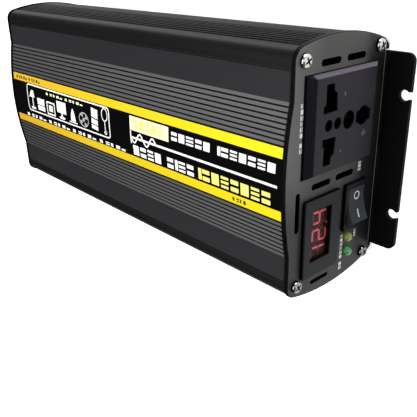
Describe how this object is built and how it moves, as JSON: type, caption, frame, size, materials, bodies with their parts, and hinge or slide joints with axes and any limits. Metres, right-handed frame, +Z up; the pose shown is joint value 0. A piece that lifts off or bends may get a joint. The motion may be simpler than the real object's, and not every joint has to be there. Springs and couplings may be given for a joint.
{
  "type": "power inverter",
  "caption": "Vehicle battery to mains power inverter in a ribbed black aluminium case with mounting feet, universal mains socket, volt meter, rocker switch, lamps, fan and stud terminals.",
  "frame": {"origin": "middle of the case's flat underside", "axes": "+Z up out of the labelled top; -Y out of the front panel with the socket and switch; +X to the right of someone who looks at the front panel, towards the socket"},
  "size_m": [0.11, 0.2637, 0.0632],
  "materials": {
    "anodised_black": "satin black anodised",
    "black_paint": "fine black powder coat",
    "label_film": "printed film, black with yellow stripes",
    "black_plastic": "fine moulded texture",
    "switch_plastic": "satin moulded",
    "smoked_lens": "smoked red window",
    "digit_module": "dark face",
    "red_light": "lit",
    "green_lamp": "translucent",
    "yellow_lamp": "translucent",
    "nickel": "nickel plated",
    "brass": "bright",
    "copper": "bright copper",
    "red_plastic": "moulded",
    "circuit_board": "solder mask",
    "ferrite": "sintered",
    "winding_tape": "polyester tape",
    "enamel_wire": "enamelled",
    "capacitor_sleeve": "shrunk sleeve",
    "bare_aluminium": "mill finish",
    "component_epoxy": "moulded epoxy",
    "fuse_body": "translucent",
    "wire_insulation": "soft PVC"
  },
  "bodies": {
    "root": {"case_shell": "anodised_black", "top_label": "label_film", "front_panel": "black_paint", "rear_panel": "black_paint", "front_panel_screws": "nickel", "rear_panel_screws": "nickel", "socket_face": "black_plastic", "socket_body": "black_plastic", "socket_contact_live": "brass", "socket_contact_neutral": "brass", "socket_contact_earth": "brass", "meter_bezel": "black_plastic", "meter_lens": "smoked_lens", "meter_digits": "digit_module", "meter_lit_segments": "red_light", "meter_board": "circuit_board", "switch_frame": "switch_plastic", "switch_terminals": "brass", "fault_lamp": "yellow_lamp", "power_lamp": "green_lamp", "lamp_board": "circuit_board", "fan_frame": "black_plastic", "fan_stator": "enamel_wire", "fan_guard": "nickel", "fan_screws": "nickel", "red_terminal_base": "red_plastic", "black_terminal_base": "black_plastic", "red_terminal_stud": "brass", "black_terminal_stud": "brass", "earth_stud": "brass", "earth_nut": "brass", "main_board": "circuit_board", "heat_sink_left": "bare_aluminium", "heat_sink_right": "bare_aluminium", "transistors_left": "component_epoxy", "transistors_right": "component_epoxy", "transformer_cores": "ferrite", "transformer_windings": "winding_tape", "input_capacitors": "capacitor_sleeve", "bus_capacitors": "capacitor_sleeve", "output_choke_core": "ferrite", "output_choke_winding": "enamel_wire", "blade_fuses": "fuse_body", "fuse_holders": "component_epoxy", "control_board": "circuit_board", "control_chips": "component_epoxy", "alarm_buzzer": "component_epoxy", "battery_bus_straps": "copper", "output_wires": "wire_insulation"},
    "rocker": {"switch_rocker": "switch_plastic"},
    "fan": {"fan_rotor": "black_plastic"},
    "red_washer": {"red_terminal_washer": "brass"},
    "red_knob": {"red_terminal_knob": "red_plastic"},
    "black_washer": {"black_terminal_washer": "brass"},
    "black_knob": {"black_terminal_knob": "black_plastic"}
  },
  "joints": [
    {"name": "rocker_tip", "type": "hinge", "parent": "root", "child": "rocker", "pos_m": [-0.0202, -0.1155, 0.0176], "axis": [0, 0, -1], "range_deg": [0, 22]},
    {"name": "fan_spin", "type": "hinge", "parent": "root", "child": "fan", "pos_m": [0, 0.1072, 0.031], "axis": [0, 1, 0], "continuous": true},
    {"name": "red_knob_travel", "type": "slide", "parent": "root", "child": "red_washer", "axis": [0, 1, 0], "range_m": [0, 0.005]},
    {"name": "red_knob_turn", "type": "hinge", "parent": "red_washer", "child": "red_knob", "pos_m": [-0.0395, 0.1265, 0.033], "axis": [0, 1, 0], "range_deg": [0, 1800]},
    {"name": "black_knob_travel", "type": "slide", "parent": "root", "child": "black_washer", "axis": [0, 1, 0], "range_m": [0, 0.005]},
    {"name": "black_knob_turn", "type": "hinge", "parent": "black_washer", "child": "black_knob", "pos_m": [0.0395, 0.1265, 0.033], "axis": [0, 1, 0], "range_deg": [0, 1800]}
  ],
  "couplings": [
    {"joint": "red_knob_travel", "follows": "red_knob_turn", "m_per_rad": 0.00015915},
    {"joint": "black_knob_travel", "follows": "black_knob_turn", "m_per_rad": 0.00015915}
  ]
}
